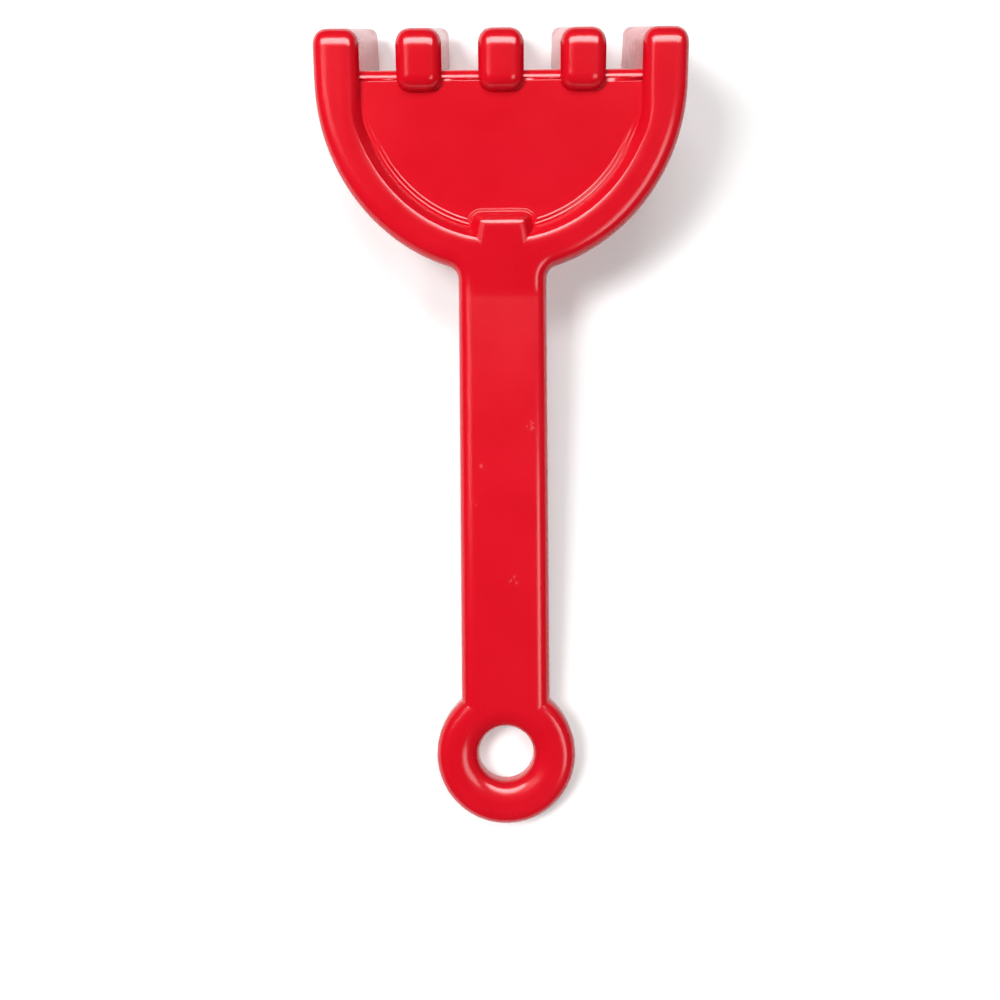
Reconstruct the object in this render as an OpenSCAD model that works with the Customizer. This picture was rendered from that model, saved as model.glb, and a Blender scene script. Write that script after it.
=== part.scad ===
// Sand rake: a one-piece moulding, a hollow shell open underneath, with a ring
// at the back of the grip, a half-round head and five leaning teeth.
// The grip lies along Y, and Z is square to its top. The head is drawn flat in its
// own frame and bent up at the neck. The whole rake is then tipped until it lies
// on its teeth and its ring, with the middle of the hang hole at the origin.

/* [Shell] */
// Depth of the shell, from its top face to its open underside
shell_h = 8; // [6.5:0.5:11]
// Thickness of the moulded walls
wall = 2.2; // [1.6:0.1:2.8]
// Radius of the rounded top edge of grip, ring, rim and teeth
edge_r = 3.4; // [3:0.1:3.8]

/* [Grip] */
// Distance from the hang hole's axis to the bend at the neck
grip_l = 141.2; // [110:0.2:180]
// Width of the grip
grip_w = 27; // [23:0.5:31]

/* [Hang ring] */
// Outside diameter of the ring
ring_d = 42.4; // [40:0.2:50]
// Diameter of the straight hang hole
hole_d = 16.8; // [12:0.2:17.6]
// Diameter of the funnel's mouth
funnel_d = 27.2; // [25.6:0.2:28]
// Depth of the funnel
funnel_h = 4; // [3:0.1:4.5]
// Radius of the funnel's rounded lip
lip_r = 2.6; // [1:0.1:3]

/* [Neck] */
// Length of the neck, from the bend to the back of the head's arc
neck_l = 5; // [4:0.5:9]
// Radius of the bend, on top
bend_r = 20; // [10:1:24]
// Radius of the hollow corners between grip and head
neck_fillet_r = 4.2; // [3:0.1:5.5]
// How far the tongue runs in front of the rim's flat top
tongue_l = 5.7; // [4:0.1:7.5]
// Width of the tongue where it leaves the rim
tongue_base_w = 13.8; // [12:0.1:15]
// Width of the tongue at its end
tongue_tip_w = 11.1; // [8:0.1:11.8]
// Width of the slope round the tongue
tongue_slope_w = 4; // [3:0.1:4.5]

/* [Head] */
// Width of the head over its outer teeth
head_w = 109.6; // [100:0.2:130]
// Angle by which the head rises from the grip's plane
head_tilt = 12; // [4:1:16]
// Width of the rim's flat top, with its rounded outer edge
rim_w = 9; // [8:0.1:10.5]
// Width of the slope from the rim's top down to the plate
slope_w = 5.5; // [4.8:0.1:6.2]
// Depth of the plate's top below the rim's top
plate_drop = 4; // [3.8:0.1:4.6]
// How far the plate's front edge stands past the centre of the arc
plate_front = 4.1; // [3.8:0.1:6]
// Radius of the rolled bead along the plate's front edge
bead_r = 1.9; // [1.5:0.1:2]
// Width of the fine groove round the plate
groove_w = 0.8; // [0.4:0.1:1.2]
// Depth of that groove
groove_h = 0.5; // [0.2:0.1:0.9]
// How far the groove stops short of the centre of the arc
groove_stop = 6; // [4:0.5:20]

/* [Teeth] */
// Number of teeth
tooth_count = 5; // [5:1:5]
// Width of a tooth
tooth_w = 13.4; // [12.6:0.1:14]
// Depth of a tooth from front to back, square to its length
tooth_depth = 12.5; // [10:0.1:13]
// Length of a tooth from the head's top plane to its tip
tooth_l = 53; // [40:0.5:65]
// Angle by which the teeth lean forward from square to the head
tooth_lean = 15.5; // [8:0.5:18]
// How far the teeth's front face stands past the centre of the arc
tooth_front = 13.8; // [13.5:0.1:15]
// Length of the raised boss on top of each inner tooth
boss_l = 16.4; // [15:0.1:18.5]
// Radius of a tooth's upright corners
tooth_corner_r = 3.7; // [3:0.1:4]
// Radius of the edges round a tooth's tip
tip_r = 2.5; // [1:0.1:3.5]

/* [Ribs] */
// Thickness of the crossed ribs under the grip
rib_t = 1.4; // [1:0.1:2]
// Length of one diamond of the crossed ribs
rib_pitch = 24; // [18:0.5:30]
// How far the ribs stop short of the open underside
rib_gap = 1.2; // [0.4:0.1:2.5]

/* [Hidden] */
$fn = 96;
plastic_red = [0.87, 0.07, 0.13];
// Overrun of every cut past the face that it opens
cut = 1;
// The same overrun in degrees, for cuts that are turned
turn = 1;
// A size larger than the rake, for long prisms
reach = 2 * (grip_l + head_w + tooth_l);

ring_r = ring_d / 2;
hole_r = hole_d / 2;
funnel_r = funnel_d / 2;
funnel_slope = funnel_h / (funnel_r - hole_r);
funnel_angle = atan(funnel_slope);
// Radius where the ring's flat top meets the funnel's rounded lip
lip_seam_r = funnel_r + lip_r * tan(funnel_angle / 2);
// Depth of the middle of the straight hole, which is the origin
hole_mid = (shell_h + funnel_h) / 2;

arc_r = head_w / 2;
// Distance from the bend to the centre of the head's arc
arc_u = neck_l + arc_r;
flat_r = arc_r - rim_w;
foot_r = flat_r - slope_w;
plate_low = plate_drop + wall;
// Distance along the top from the bend's corner to where its curve starts
bend_run = bend_r * tan(head_tilt / 2);
// Centre of the neck's hollow corner, right-hand side, and half of the angle that the
// neck takes out of the arc
fillet_x = grip_w / 2 + neck_fillet_r;
fillet_u = arc_u - sqrt(pow(arc_r + neck_fillet_r, 2) - pow(fillet_x, 2));
fillet_angle = asin(fillet_x / (arc_r + neck_fillet_r));
tongue_back_u = neck_l + rim_w - cut;
tongue_points = [[tongue_base_w / 2, tongue_back_u], [tongue_tip_w / 2, neck_l + rim_w + tongue_l],
    [-tongue_tip_w / 2, neck_l + rim_w + tongue_l], [-tongue_base_w / 2, tongue_back_u]];

tooth_pitch = (head_w - tooth_w) / (tooth_count - 1);
front_u = arc_u + tooth_front;
boss_u = front_u - boss_l;
bead_u = arc_u + plate_front - bead_r;
// Half the width between the outer teeth
inner_x = arc_r - tooth_w;
// Directions in a tooth's side view: down its length, and square to that, forward
down = [sin(tooth_lean), -cos(tooth_lean)];
ahead = [cos(tooth_lean), sin(tooth_lean)];

// The rake rests on the round rear edge of its tips and on the back of its ring.
// The centre of that round edge, seen from the ring's resting point:
tip_uv = [front_u, 0] + (tooth_l - tip_r) * down - (tooth_depth - tip_r) * ahead;
tip_y = grip_l + tip_uv[0] * cos(head_tilt) - tip_uv[1] * sin(head_tilt) + ring_r;
tip_z = tip_uv[0] * sin(head_tilt) + tip_uv[1] * cos(head_tilt) + shell_h;
rest_tilt = asin(tip_r / norm([tip_y, tip_z])) - atan2(tip_z, tip_y);

module at_rest() {
    color(plastic_red) rotate([rest_tilt, 0, 0]) translate([0, 0, hole_mid]) children();
}
module in_head() {
    translate([0, grip_l, 0]) rotate([head_tilt, 0, 0]) children();
}
// Takes from a profile what lies between a corner and a circle that touches both
// of its edges, which leave the corner at the angles from and to
module corner_cut(corner, from, to, r) {
    half = (to - from) / 2;
    inward = [cos((from + to) / 2), sin((from + to) / 2)];
    run = r / tan(half);
    centre = corner + r / sin(half) * inward;
    difference() {
        polygon([corner - cut * inward, corner + run * [cos(from), sin(from)], centre,
            corner + run * [cos(to), sin(to)]]);
        translate(centre) circle(r = r);
    }
}

// Section of the grip: inset 0 is its outside and inset wall its hollow
module grip_section(inset = 0) {
    half = grip_w / 2 - inset;
    low = shell_h + (inset > 0 ? cut : 0);
    difference() {
        translate([-half, -low]) square([2 * half, low - inset]);
        corner_cut([half, -inset], 180, 270, edge_r - inset);
        corner_cut([-half, -inset], 270, 360, edge_r - inset);
    }
}
module bar(from_y, to_y, inset = 0) {
    translate([0, to_y, 0]) rotate([90, 0, 0]) linear_extrude(to_y - from_y) grip_section(inset);
}

// Section of the ring, from its axis out
module ring_section() {
    shift = wall / cos(funnel_angle);
    collar_r = hole_r + wall;
    difference() {
        translate([hole_r, -shell_h]) square([ring_r - hole_r, shell_h]);
        polygon([[hole_r - cut, cut], [funnel_r + cut / funnel_slope, cut], [funnel_r, 0],
            [hole_r, -funnel_h], [hole_r - cut, -funnel_h]]);
        corner_cut([funnel_r, 0], 180 + funnel_angle, 360, lip_r);
        corner_cut([ring_r, 0], 180, 270, edge_r);
        difference() {
            polygon([[collar_r, -shell_h - cut], [collar_r, -(funnel_r - collar_r) * funnel_slope - shift],
                [funnel_r - (shift - wall) / funnel_slope, -wall], [ring_r - wall, -wall],
                [ring_r - wall, -shell_h - cut]]);
            corner_cut([ring_r - wall, -wall], 180, 270, edge_r - wall);
        }
    }
}
module hang_ring() {
    at_rest() {
        rotate_extrude() intersection() {
            ring_section();
            translate([lip_seam_r, -shell_h - cut]) square([ring_r, shell_h + 2 * cut]);
        }
        // The grip's top runs on over the ring's rounded edge
        intersection() {
            bar(0, ring_r + cut);
            rotate_extrude() polygon([[ring_r - edge_r, 0], [ring_r, 0], [ring_r, -edge_r],
                [ring_r - wall, -edge_r], [ring_r - wall, -wall], [ring_r - edge_r, -wall]]);
        }
    }
}
module hang_hole_collar() {
    at_rest() rotate_extrude() intersection() {
        ring_section();
        translate([0, -shell_h - cut]) square([lip_seam_r, shell_h + 2 * cut]);
    }
}

// What the ring takes out of the grip's end
module ring_room() {
    translate([0, 0, -shell_h - cut]) cylinder(r = ring_r, h = shell_h + 2 * cut);
}
module grip() {
    at_rest() difference() {
        bar(0, grip_l - bend_run);
        bar(-cut, grip_l - bend_run + cut, wall);
        ring_room();
    }
}
// Crossed ribs that stiffen the grip from below, fused to its hollow
module grip_ribs() {
    angle = atan(rib_pitch / grip_w);
    at_rest() difference() {
        intersection() {
            bar(0, grip_l - bend_run, wall);
            for (side = [-1, 1], k = [0 : ceil(grip_l / rib_pitch)])
                translate([0, grip_l - bend_run - rib_t - k * rib_pitch, rib_gap - shell_h])
                    rotate([0, 0, side * angle]) translate([-grip_w, -rib_t / 2, 0])
                        cube([2 * grip_w, rib_t, shell_h]);
        }
        ring_room();
    }
}

// Section of the rim, from the centre of its arc out: its outside, and its hollow
module rim_outside() {
    difference() {
        polygon([[foot_r, -shell_h], [arc_r, -shell_h], [arc_r, 0], [flat_r, 0], [foot_r, -plate_drop]]);
        corner_cut([arc_r, 0], 180, 270, edge_r);
    }
}
module rim_hollow() {
    difference() {
        polygon([[foot_r - cut, -shell_h - cut], [arc_r - wall, -shell_h - cut], [arc_r - wall, -wall],
            [flat_r, -wall], [foot_r - cut, -plate_low - cut * plate_drop / slope_w]]);
        corner_cut([arc_r - wall, -wall], 180, 270, edge_r - wall);
    }
}
// A stretch of the arc, given by its angles from straight back, towards the right
module along_arc(from, to) {
    translate([0, arc_u, 0]) rotate([0, 0, from - 90]) rotate_extrude(angle = to - from) children();
}

// The grip's section turned up from the grip's plane to the head's
module bend_turn(inset, over) {
    translate([0, bend_run, bend_r]) rotate([0, 90, 0]) rotate([0, 0, -head_tilt - over])
        rotate_extrude(angle = head_tilt + 2 * over) translate([bend_r, 0]) rotate(90)
            grip_section(inset);
}
module neck_bend() {
    at_rest() in_head() difference() {
        bend_turn(0, 0);
        bend_turn(wall, turn);
    }
}
// Where the grip spreads into the rim between the two hollow corners, from above. It
// ends where the corners meet the arc. Its hollow runs on into the rim's.
module neck_plan(inset = 0) {
    half = fillet_x + (inset > 0 ? cut : 0);
    difference() {
        polygon([[-half, fillet_u], [half, fillet_u], [0, arc_u]]);
        translate([0, arc_u]) circle(r = inset > 0 ? flat_r : foot_r);
        for (side = [-1, 1]) translate([side * fillet_x, fillet_u]) circle(r = neck_fillet_r + inset);
    }
}
// That spread, its top edges rounded, with the slope down to the plate
module neck_block() {
    difference() {
        translate([0, 0, -shell_h]) linear_extrude(shell_h) neck_plan();
        for (side = [-1, 1]) translate([side * fillet_x, fillet_u, 0]) rotate([0, 0, 90 + side * 90])
            rotate_extrude(angle = -side * (90 - fillet_angle + turn))
                corner_cut([neck_fillet_r, 0], 270, 360, edge_r);
        along_arc(-fillet_angle - turn, fillet_angle + turn) polygon([[foot_r - cut, cut],
            [foot_r - cut, -plate_drop], [foot_r, -plate_drop], [flat_r, 0], [flat_r, cut]]);
    }
}
// The tongue on top of the neck: flat, with slopes down to the plate on three sides
module beside_tongue(k) {
    side = tongue_points[k + 1] - tongue_points[k];
    translate(tongue_points[k]) rotate([0, 0, atan2(side[1], side[0])]) children();
}
module along_tongue(k) {
    beside_tongue(k) rotate([90, 0, 90]) linear_extrude(2 * grip_w, center = true) children();
}
module tongue_section() {
    polygon([[grip_w, 0], [0, 0], [-tongue_slope_w, -plate_drop], [-tongue_slope_w, -plate_low],
        [grip_w, -plate_low]]);
}
module tongue() {
    intersection() {
        translate([-grip_w / 2, tongue_back_u, -plate_low]) cube([grip_w, grip_w, plate_low]);
        along_tongue(0) tongue_section();
        along_tongue(1) tongue_section();
        along_tongue(2) tongue_section();
    }
}
// Outline of the tongue's foot on the plate, with a margin round it
module foot_side(k, margin) {
    beside_tongue(k) translate([-grip_w, -tongue_slope_w - margin]) square(2 * grip_w);
}
module tongue_foot(margin = 0) {
    intersection() {
        translate([-grip_w / 2, tongue_back_u]) square(grip_w);
        foot_side(0, margin);
        foot_side(1, margin);
        foot_side(2, margin);
    }
}
module neck() {
    at_rest() in_head() difference() {
        union() {
            neck_block();
            bar(bend_run, fillet_u);
            tongue();
        }
        along_arc(-fillet_angle - turn, fillet_angle + turn) rim_hollow();
        bar(bend_run - cut, fillet_u + cut, wall);
        translate([0, 0, -shell_h - cut]) linear_extrude(shell_h + cut - wall) neck_plan(wall);
        translate([0, 0, -shell_h - cut]) linear_extrude(shell_h + cut - wall)
            polygon(tongue_points);
    }
}

// An outer tooth seen from above, in its own frame, which is also what it takes out
// of the rim. Its hollow runs on into the rim's.
module outer_plan(inset = 0) {
    half = tooth_w / 2 - inset;
    back = boss_u + inset;
    difference() {
        translate([-half, back]) square([2 * half + (inset > 0 ? 0 : cut), front_u + tooth_l - back]);
        corner_cut([-half, back], 0, 90, tooth_corner_r - inset);
    }
    if (inset > 0) translate([tooth_w / 2 - rim_w, boss_u - cut]) square([rim_w - inset, tooth_l]);
}
module rim_half() {
    at_rest() in_head() difference() {
        along_arc(fillet_angle, 90) rim_outside();
        along_arc(fillet_angle - turn, 90 + turn) rim_hollow();
        translate([arc_r - tooth_w / 2, 0, -shell_h - cut]) linear_extrude(shell_h + 2 * cut)
            outer_plan();
    }
}
module rim_right() {
    rim_half();
}
module rim_left() {
    mirror([1, 0, 0]) rim_half();
}

// The inner teeth seen from above, which is also what they take out of the plate
module boss_plan(inset = 0) {
    half = tooth_w / 2 - inset;
    back = boss_u + inset;
    difference() {
        translate([-half, back]) square([2 * half, front_u + tooth_l - back]);
        corner_cut([half, back], 90, 180, tooth_corner_r - inset);
        corner_cut([-half, back], 0, 90, tooth_corner_r - inset);
    }
}
module inner_bosses() {
    for (k = [1 : tooth_count - 2]) translate([k * tooth_pitch + tooth_w / 2 - arc_r, 0]) boss_plan();
}
module head_plate() {
    at_rest() in_head() difference() {
        translate([0, 0, -plate_low]) linear_extrude(wall) difference() {
            union() {
                intersection() {
                    translate([0, arc_u]) circle(r = foot_r);
                    translate([-arc_r, neck_l]) square([head_w, arc_r]);
                }
                translate([-inner_x, arc_u]) square([2 * inner_x, bead_u - arc_u]);
            }
            tongue_foot();
            inner_bosses();
        }
        translate([0, 0, -plate_drop - groove_h]) linear_extrude(groove_h + cut) intersection() {
            union() {
                translate([0, arc_u]) difference() {
                    circle(r = foot_r + cut);
                    circle(r = foot_r - groove_w);
                }
                tongue_foot(groove_w);
            }
            translate([-arc_r, neck_l]) square([head_w, arc_r - groove_stop]);
        }
    }
}
// Rolled front edge of the plate, one length between each pair of teeth
module plate_bead() {
    at_rest() in_head() difference() {
        translate([-inner_x, bead_u, -plate_drop - bead_r]) rotate([90, 0, 90])
            linear_extrude(2 * inner_x) difference() {
                circle(r = bead_r);
                translate([-2 * bead_r, bead_r - wall]) square([2 * bead_r, 2 * bead_r]);
            }
        translate([0, 0, -shell_h - cut]) linear_extrude(shell_h) inner_bosses();
    }
}

// Side view of a tooth, forward and up. Its top starts at rear, and behind the
// leaning part its sides reach down to low.
module tooth_side(rear, low, round_rear) {
    top = [front_u, 0];
    tip = top + tooth_l * down;
    heel = tip - tooth_depth * ahead;
    difference() {
        polygon([top, tip, heel, [heel[0] + (low + heel[1]) * tan(tooth_lean), -low],
            [rear, -low], [rear, 0]]);
        corner_cut(top, 180, 270 + tooth_lean, edge_r);
        corner_cut(tip, 90 + tooth_lean, 180 + tooth_lean, tip_r);
        corner_cut(heel, tooth_lean, 90 + tooth_lean, tip_r);
        if (round_rear) corner_cut([rear, 0], 270, 360, edge_r);
    }
}
// Side view of a tooth's hollow, which is open at the back
module tooth_hollow_side(rear, low) {
    front = [front_u, 0] - wall * ahead;
    top = front + wall * (1 - sin(tooth_lean)) / cos(tooth_lean) * down;
    tip = front + (tooth_l - wall) * down;
    heel = tip - tooth_depth * ahead;
    polygon([top, tip, heel, [heel[0] + (low + cut + heel[1]) * tan(tooth_lean), -low - cut],
        [rear, -low - cut], [rear, -wall]]);
}
// A tooth or its hollow, from its side view and its plan, with its top edges and
// its upright front corners rounded
module tooth_form(inset) {
    half = tooth_w / 2 - inset;
    intersection() {
        rotate([90, 0, 90]) linear_extrude(2 * half, center = true) children(0);
        translate([0, 0, -reach / 2]) linear_extrude(reach) children(1);
        rotate([90, 0, 0]) linear_extrude(reach, center = true) difference() {
            translate([-half, -reach]) square([2 * half, reach - inset]);
            corner_cut([half, -inset], 180, 270, edge_r - inset);
            corner_cut([-half, -inset], 270, 360, edge_r - inset);
        }
        translate([0, front_u, 0]) rotate([tooth_lean, 0, 0])
            linear_extrude(reach, center = true) difference() {
                translate([-half, -reach]) square([2 * half, reach - inset]);
                corner_cut([half, -inset], 180, 270, tooth_corner_r - inset);
                corner_cut([-half, -inset], 270, 360, tooth_corner_r - inset);
            }
    }
}
// Takes the lower corners off a tooth's tip, seen from its front
module tip_corners() {
    translate([0, front_u, 0]) rotate([tooth_lean, 0, 0]) rotate([90, 0, 0])
        linear_extrude(reach, center = true) {
            corner_cut([tooth_w / 2, -tooth_l], 90, 180, tip_r);
            corner_cut([-tooth_w / 2, -tooth_l], 0, 90, tip_r);
        }
}
module inner_tooth(k) {
    at_rest() in_head() translate([k * tooth_pitch + tooth_w / 2 - arc_r, 0, 0]) difference() {
        tooth_form(0) {
            tooth_side(boss_u, plate_low, true);
            boss_plan();
        }
        tooth_form(wall) {
            tooth_hollow_side(boss_u + wall, plate_low);
            boss_plan(wall);
        }
        tip_corners();
    }
}
module outer_tooth() {
    at_rest() in_head() translate([arc_r - tooth_w / 2, 0, 0]) difference() {
        tooth_form(0) {
            tooth_side(boss_u, shell_h, false);
            outer_plan();
        }
        tooth_form(wall) {
            tooth_hollow_side(boss_u - cut, shell_h);
            outer_plan(wall);
        }
        tip_corners();
    }
}
module tooth_left_outer() {
    mirror([1, 0, 0]) outer_tooth();
}
module tooth_left_inner() {
    inner_tooth(1);
}
module tooth_centre() {
    inner_tooth(2);
}
module tooth_right_inner() {
    inner_tooth(3);
}
module tooth_right_outer() {
    outer_tooth();
}

hang_ring();
hang_hole_collar();
grip();
grip_ribs();
neck_bend();
neck();
rim_left();
rim_right();
head_plate();
plate_bead();
tooth_left_outer();
tooth_left_inner();
tooth_centre();
tooth_right_inner();
tooth_right_outer();
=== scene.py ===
"""Looks of a one-piece red toy sand rake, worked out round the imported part.

Sizes are in millimetres, as in the part. In the grip's frame x is right, y runs
towards the teeth and z up from the grip's flat top, from the hang hole's axis. In the
head's frame x is right, u forward from the bend and v up from the rim's flat top.
"""

import bpy
import numpy as np
from mathutils import Matrix, Vector
from mathutils.geometry import tessellate_polygon


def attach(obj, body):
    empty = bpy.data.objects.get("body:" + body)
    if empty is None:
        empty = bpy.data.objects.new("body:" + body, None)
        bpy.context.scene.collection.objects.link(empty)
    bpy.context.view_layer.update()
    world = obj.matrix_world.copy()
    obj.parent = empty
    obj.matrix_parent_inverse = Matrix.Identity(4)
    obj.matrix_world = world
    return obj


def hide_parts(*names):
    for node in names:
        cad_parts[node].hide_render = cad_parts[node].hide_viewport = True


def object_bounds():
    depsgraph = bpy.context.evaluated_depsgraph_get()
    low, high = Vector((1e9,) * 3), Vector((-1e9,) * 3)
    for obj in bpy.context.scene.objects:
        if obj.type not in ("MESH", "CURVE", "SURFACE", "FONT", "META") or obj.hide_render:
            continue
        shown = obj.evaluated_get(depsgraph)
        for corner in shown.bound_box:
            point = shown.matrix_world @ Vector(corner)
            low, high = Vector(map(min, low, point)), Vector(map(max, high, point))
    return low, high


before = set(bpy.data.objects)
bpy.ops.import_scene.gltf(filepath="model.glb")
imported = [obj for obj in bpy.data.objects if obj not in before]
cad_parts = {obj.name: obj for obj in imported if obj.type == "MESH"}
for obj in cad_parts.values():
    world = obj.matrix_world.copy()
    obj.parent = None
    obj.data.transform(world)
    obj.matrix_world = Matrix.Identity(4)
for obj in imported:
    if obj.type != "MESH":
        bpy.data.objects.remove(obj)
cad_low, cad_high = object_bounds()

# ---------------------------------------------------------------- the rake's sizes
# EDGE_R is the depth at which the shell's inner corners start to turn to the ceiling.
SHELL_H, WALL, EDGE_R = 8.0, 2.2, 3.4
GRIP_L, GRIP_W = 141.2, 27.0
RING_R, HOLE_R, FUNNEL_R, FUNNEL_H = 21.2, 8.4, 13.6, 4.0
NECK_L, BEND_R, FILLET_R = 5.0, 20.0, 4.2
TONGUE_L, TONGUE_BASE, TONGUE_TIP = 5.7, 13.8, 11.1
HEAD_W, HEAD_TILT, RIM_W, PLATE_DROP, PLATE_FRONT = 109.6, 12.0, 9.0, 4.0, 4.1
TOOTH_W, TOOTH_DEPTH, TOOTH_L, TOOTH_LEAN = 13.4, 12.5, 53.0, 15.5
TOOTH_FRONT, BOSS_L, CORNER_R, TIP_R = 13.8, 16.4, 3.7, 2.5
FLANGE_R, FOOT_R, BOSS_R = 3.0, 0.3, 4.0
# Every rounded edge starts with a wide radius and ends with a narrow one: each has the
# wide radius, the tilt in degrees where it ends, the narrow radius and its last tilt.
EDGE = (8.0, 13.0, 3.89, 90.0)
RIM_LIP = (9.0, 18.0, 0.6, 52.0)
TONGUE_LIP = (6.5, 20.0, 0.5, 58.0)
SHOULDER = (9.0, 14.0, 5.6, 90.0 - TOOTH_LEAN)
# The hole's mouth has three radii: each has its radius, its last tilt and its steps.
MOUTH_ARCS = ((3.6, 8.0, 6), (10.0, 28.0, 18), (3.95, 90.0, 16))
# The slope's foot lies inside the tongue's and the rim's flat edge; two fine beads follow.
SLOPE_FOOT_R, TONGUE_FOOT, TONGUE_FLARE = 41.9, 3.35, 1.16
BEADS_RIM, BEADS_TONGUE, BEAD_H = 2.4, 1.4, 0.13
# Down to the first depth the slope's rows lie on the lips' wide rounding, and down to
# the second on the narrow one.
LIP_WIDE, LIP_END = 0.392, 0.68
# Degrees round the arc between which its edge turns into the outer tooth's side, and
# between which its beads fade out.
TURN_IN, BEADS_FADE = (66.0, 89.0), (60.0, 80.0)
# The tongue's sides start this far inside the rim's width.
TONGUE_ROOT = 1.0
# The plate's notches reach this far into a tooth's side wall and its boss's rear wall,
# and their corners are rounded by this much less.
NOTCH_SIDE, NOTCH_REAR, NOTCH_CORNER = 0.6, 0.7, 0.8
# The plate's sides start this far ahead of the rim's ends, and its flange ends this far
# above the shell's foot.
PLATE_PAST, FLANGE_UP = 0.3, 0.2
# The grip's edge starts this far along. From this depth down its end moves from the
# ring's rounded edge into the ring's wall.
GRIP_START, JOIN_DEPTH = 25.0, 0.9
# Shares of a tooth's front along which its sides' rounding changes: below the shoulder
# and above the tip.
BELOW_SHOULDER, ABOVE_TIP = (0.0, 0.2), (0.78, 1.0)

# How finely the surfaces are cut. Corners merge where they round to the same
# 1 / MERGE_PER_M of a metre.
GRIP_ROWS, BEND_ROWS, FILLET_ROWS, RIM_ROWS, ACROSS = 16, 12, 21, 80, 21
CONE_STOPS, FLANK_STOPS, ARC_STOPS, RING_STOPS = 15, 9, 111, 193
WIDE_STEPS, NARROW_STEPS, FOOT_STEPS, INNER_STEPS = 8, 16, 4, 6
FRONT_STEPS, TIP_STEPS, END_STEPS, FACE_STOPS = 24, 10, 6, 5
MERGE_PER_M = 1e7

HOLE_MID = (SHELL_H + FUNNEL_H) / 2
ARC_R = HEAD_W / 2
ARC_U = NECK_L + ARC_R
PLATE_LOW = PLATE_DROP + WALL
BEND_RUN = BEND_R * np.tan(np.radians(HEAD_TILT / 2))
FILLET_X = GRIP_W / 2 + FILLET_R
FILLET_U = ARC_U - np.sqrt((ARC_R + FILLET_R) ** 2 - FILLET_X**2)
FILLET_ANGLE = np.degrees(np.arcsin(FILLET_X / (ARC_R + FILLET_R)))
FRONT_U = ARC_U + TOOTH_FRONT
BOSS_U = FRONT_U - BOSS_L
TOOTH_PITCH = (HEAD_W - TOOTH_W) / 4
OUTER_X = ARC_R - TOOTH_W / 2
HALF_W = TOOTH_W / 2
LEAN = np.radians(TOOTH_LEAN)
DOWN = np.array([np.sin(LEAN), -np.cos(LEAN)])
AHEAD = np.array([np.cos(LEAN), np.sin(LEAN)])
TIP = np.array([FRONT_U, 0.0]) + TOOTH_L * DOWN
HEEL = TIP - TOOTH_DEPTH * AHEAD
MIRROR = np.array([-1.0, 1.0])
BOTH_SIDES = (np.ones(3), np.array([-1.0, 1.0, 1.0]))


def rest_angle():
    """The rake's tilt at rest: it lies on the back of its ring and on the round rear
    edge of its tips, so the line through both circles' lowest points is level."""
    tilt = np.radians(HEAD_TILT)
    tip = np.array([FRONT_U, 0.0]) + (TOOTH_L - TIP_R) * DOWN - (TOOTH_DEPTH - TIP_R) * AHEAD
    y = GRIP_L + tip[0] * np.cos(tilt) - tip[1] * np.sin(tilt) + RING_R
    z = tip[0] * np.sin(tilt) + tip[1] * np.cos(tilt) + SHELL_H
    return np.degrees(np.arcsin(TIP_R / np.hypot(y, z)) - np.arctan2(z, y))


REST_TILT = rest_angle()


# ---------------------------------------------------------------- frames
def turned(vectors, degrees):
    """Vectors turned about the x axis: y and z mix by the cosine and sine."""
    c, s = np.cos(np.radians(degrees)), np.sin(np.radians(degrees))
    x, y, z = np.moveaxis(np.asarray(vectors, float), -1, 0)
    return np.stack([x, c * y - s * z, s * y + c * z], -1)


HEAD_AHEAD = turned([0.0, 1.0, 0.0], HEAD_TILT)
HEAD_UP = turned([0.0, 0.0, 1.0], HEAD_TILT)


def from_head(points):
    """Points of the head's frame in the grip's: turned up by the tilt, then moved out."""
    return turned(points, HEAD_TILT) + np.array([0.0, GRIP_L, 0.0])


def at_height(plan, height):
    """Points of the head's plan (x, u) at a height v, in the grip's frame."""
    height = np.broadcast_to(height, plan.shape[:-1])
    return from_head(np.concatenate([plan, height[..., None]], -1))


def to_metres(points):
    """Points of the grip's frame as the rake lies at rest, in metres."""
    return turned(np.asarray(points) + np.array([0.0, 0.0, HOLE_MID]), REST_TILT) * 0.001


def smooth(x, low, high):
    """0 below low, 1 above high, and the smooth cubic 3t^2 - 2t^3 between."""
    t = np.clip((x - low) / (high - low), 0.0, 1.0)
    return t * t * (3.0 - 2.0 * t)


def unit(vectors):
    return vectors / np.maximum(np.linalg.norm(vectors, axis=-1, keepdims=True), 1e-12)


def rounding(tilt, edge):
    """How far out and down a rounded edge has come at a tilt: (R sin t, R (1 - cos t))
    as far as the first tilt, and the same with the narrow radius from there."""
    wide, turn, narrow, _ = edge
    t, t1 = np.radians(tilt), np.radians(turn)
    first, second = np.minimum(t, t1), np.maximum(t, t1)
    out = wide * np.sin(first) + narrow * (np.sin(second) - np.sin(t1))
    return out, wide * (1 - np.cos(first)) + narrow * (np.cos(t1) - np.cos(second))


def tilt_at(depth, edge):
    """The tilt in degrees at which a rounded edge has come down to a depth."""
    wide, turn, narrow, last = edge
    cos_turn = np.cos(np.radians(turn))
    low = wide * (1 - cos_turn)
    first = np.degrees(np.arccos(np.clip(1 - depth / wide, -1, 1)))
    second = np.degrees(np.arccos(np.clip(cos_turn - (depth - low) / narrow, -1, 1)))
    return np.minimum(np.where(depth <= low, first, second), last)


EDGE_A, EDGE_D = (float(value) for value in rounding(90.0, EDGE))
EDGE_X = GRIP_W / 2 - EDGE_A


# ---------------------------------------------------------------- surfaces
def first_corners(sizes):
    """The number of each face's first corner, for faces of these sizes."""
    return np.concatenate([[0], np.cumsum(sizes)[:-1]])


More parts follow.
